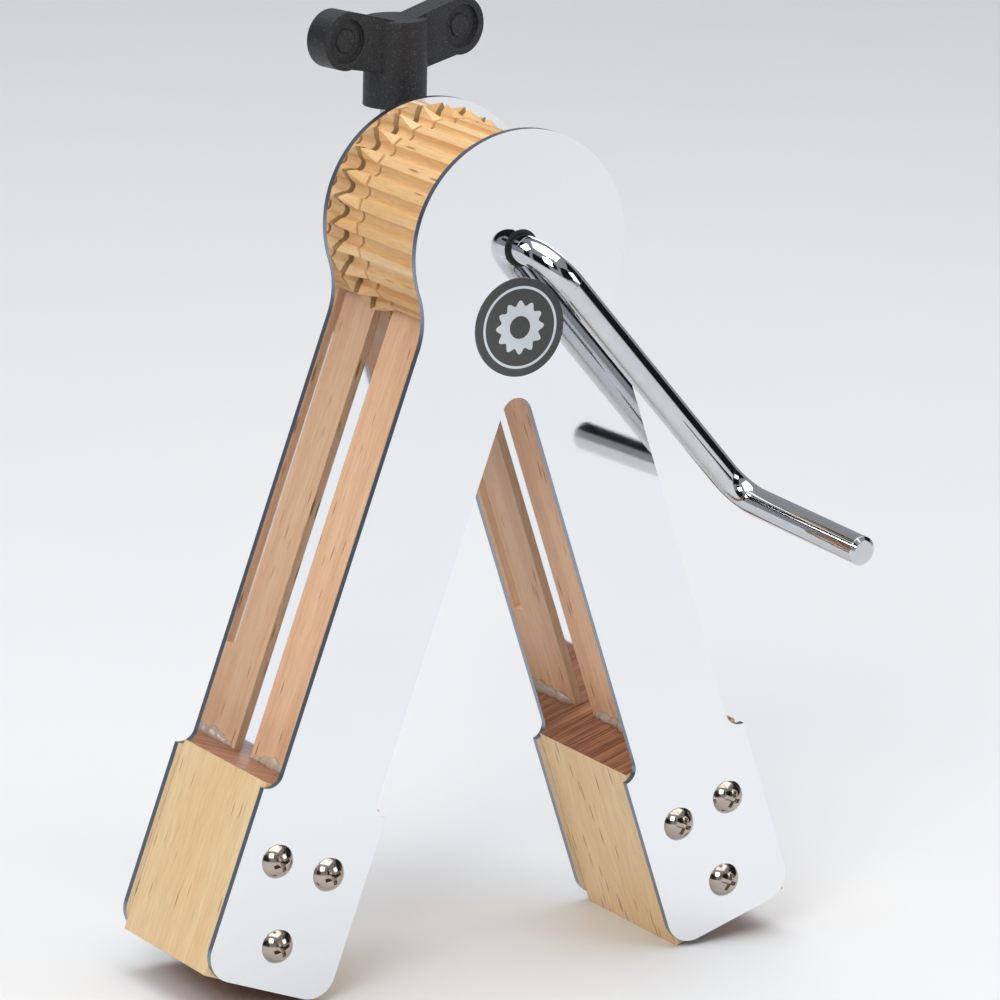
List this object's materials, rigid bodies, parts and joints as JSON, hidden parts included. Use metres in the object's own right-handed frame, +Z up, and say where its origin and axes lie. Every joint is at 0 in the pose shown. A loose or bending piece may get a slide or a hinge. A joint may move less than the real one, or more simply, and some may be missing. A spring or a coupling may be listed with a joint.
{
  "type": "crank ratchet",
  "caption": "Hand-cranked cog rattle: mirror steel frame on wooden feet, a fluted wooden cog turned by a bent rod crank against wooden tongues, and a rod clamp with a wing bolt.",
  "frame": {"origin": "centre of the whole outline in X and Y, at the level of the two lower edges of the feet", "axes": "+X across the legs, +Y from the crank towards the rod clamp, +Z up"},
  "size_m": [0.1808, 0.1514, 0.2555],
  "materials": {
    "plate_steel": "mirror polished stainless sheet",
    "block_wood": "fine sanded beech, clear sealed",
    "tongue_wood": "fine sanded beech, clear sealed",
    "cog_wood": "machined hardwood, waxed",
    "screw_nickel": "bright nickel",
    "badge_print": "printed, satin",
    "bush_nylon": "moulded, satin",
    "crank_chrome": "bright chrome plate",
    "clamp_black": "fine textured powder coat",
    "pad_brass": "turned",
    "knob_plastic": "grained glass-filled nylon"
  },
  "bodies": {
    "frame": {"front_plate": "plate_steel", "rear_plate": "plate_steel", "left_block": "block_wood", "right_block": "block_wood", "tongue_left": "tongue_wood", "tongue_right": "tongue_wood", "front_screws_left": "screw_nickel", "front_screws_right": "screw_nickel", "rear_screws_left": "screw_nickel", "rear_screws_right": "screw_nickel", "badge": "badge_print", "front_bush": "bush_nylon", "rear_bush": "bush_nylon", "clamp_block": "clamp_black", "clamp_screws": "screw_nickel"},
    "crank": {"crank_rod": "crank_chrome", "front_cog": "cog_wood", "cog_spacer": "bush_nylon", "rear_cog": "cog_wood", "cog_pins": "screw_nickel", "axle_clip": "screw_nickel"},
    "pad": {"pressure_pad": "pad_brass"},
    "wing_bolt": {"bolt_stem": "screw_nickel", "wing_knob": "knob_plastic"}
  },
  "joints": [
    {"name": "crank_spin", "type": "hinge", "parent": "frame", "child": "crank", "pos_m": [0, 0.02144, 0.2012], "axis": [0, 1, 0], "continuous": true, "deforming": ["tongue_left", "tongue_right"]},
    {"name": "pad_travel", "type": "slide", "parent": "frame", "child": "pad", "axis": [0, 0, 1], "range_m": [-0.002, 0.005]},
    {"name": "wing_bolt_turn", "type": "hinge", "parent": "pad", "child": "wing_bolt", "pos_m": [0, 0.06564, 0.2275], "axis": [0, 0, 1], "range_deg": [-577, 1441]}
  ],
  "couplings": [
    {"joint": "wing_bolt_turn", "follows": "pad_travel", "rad_per_m": 5026.5}
  ]
}
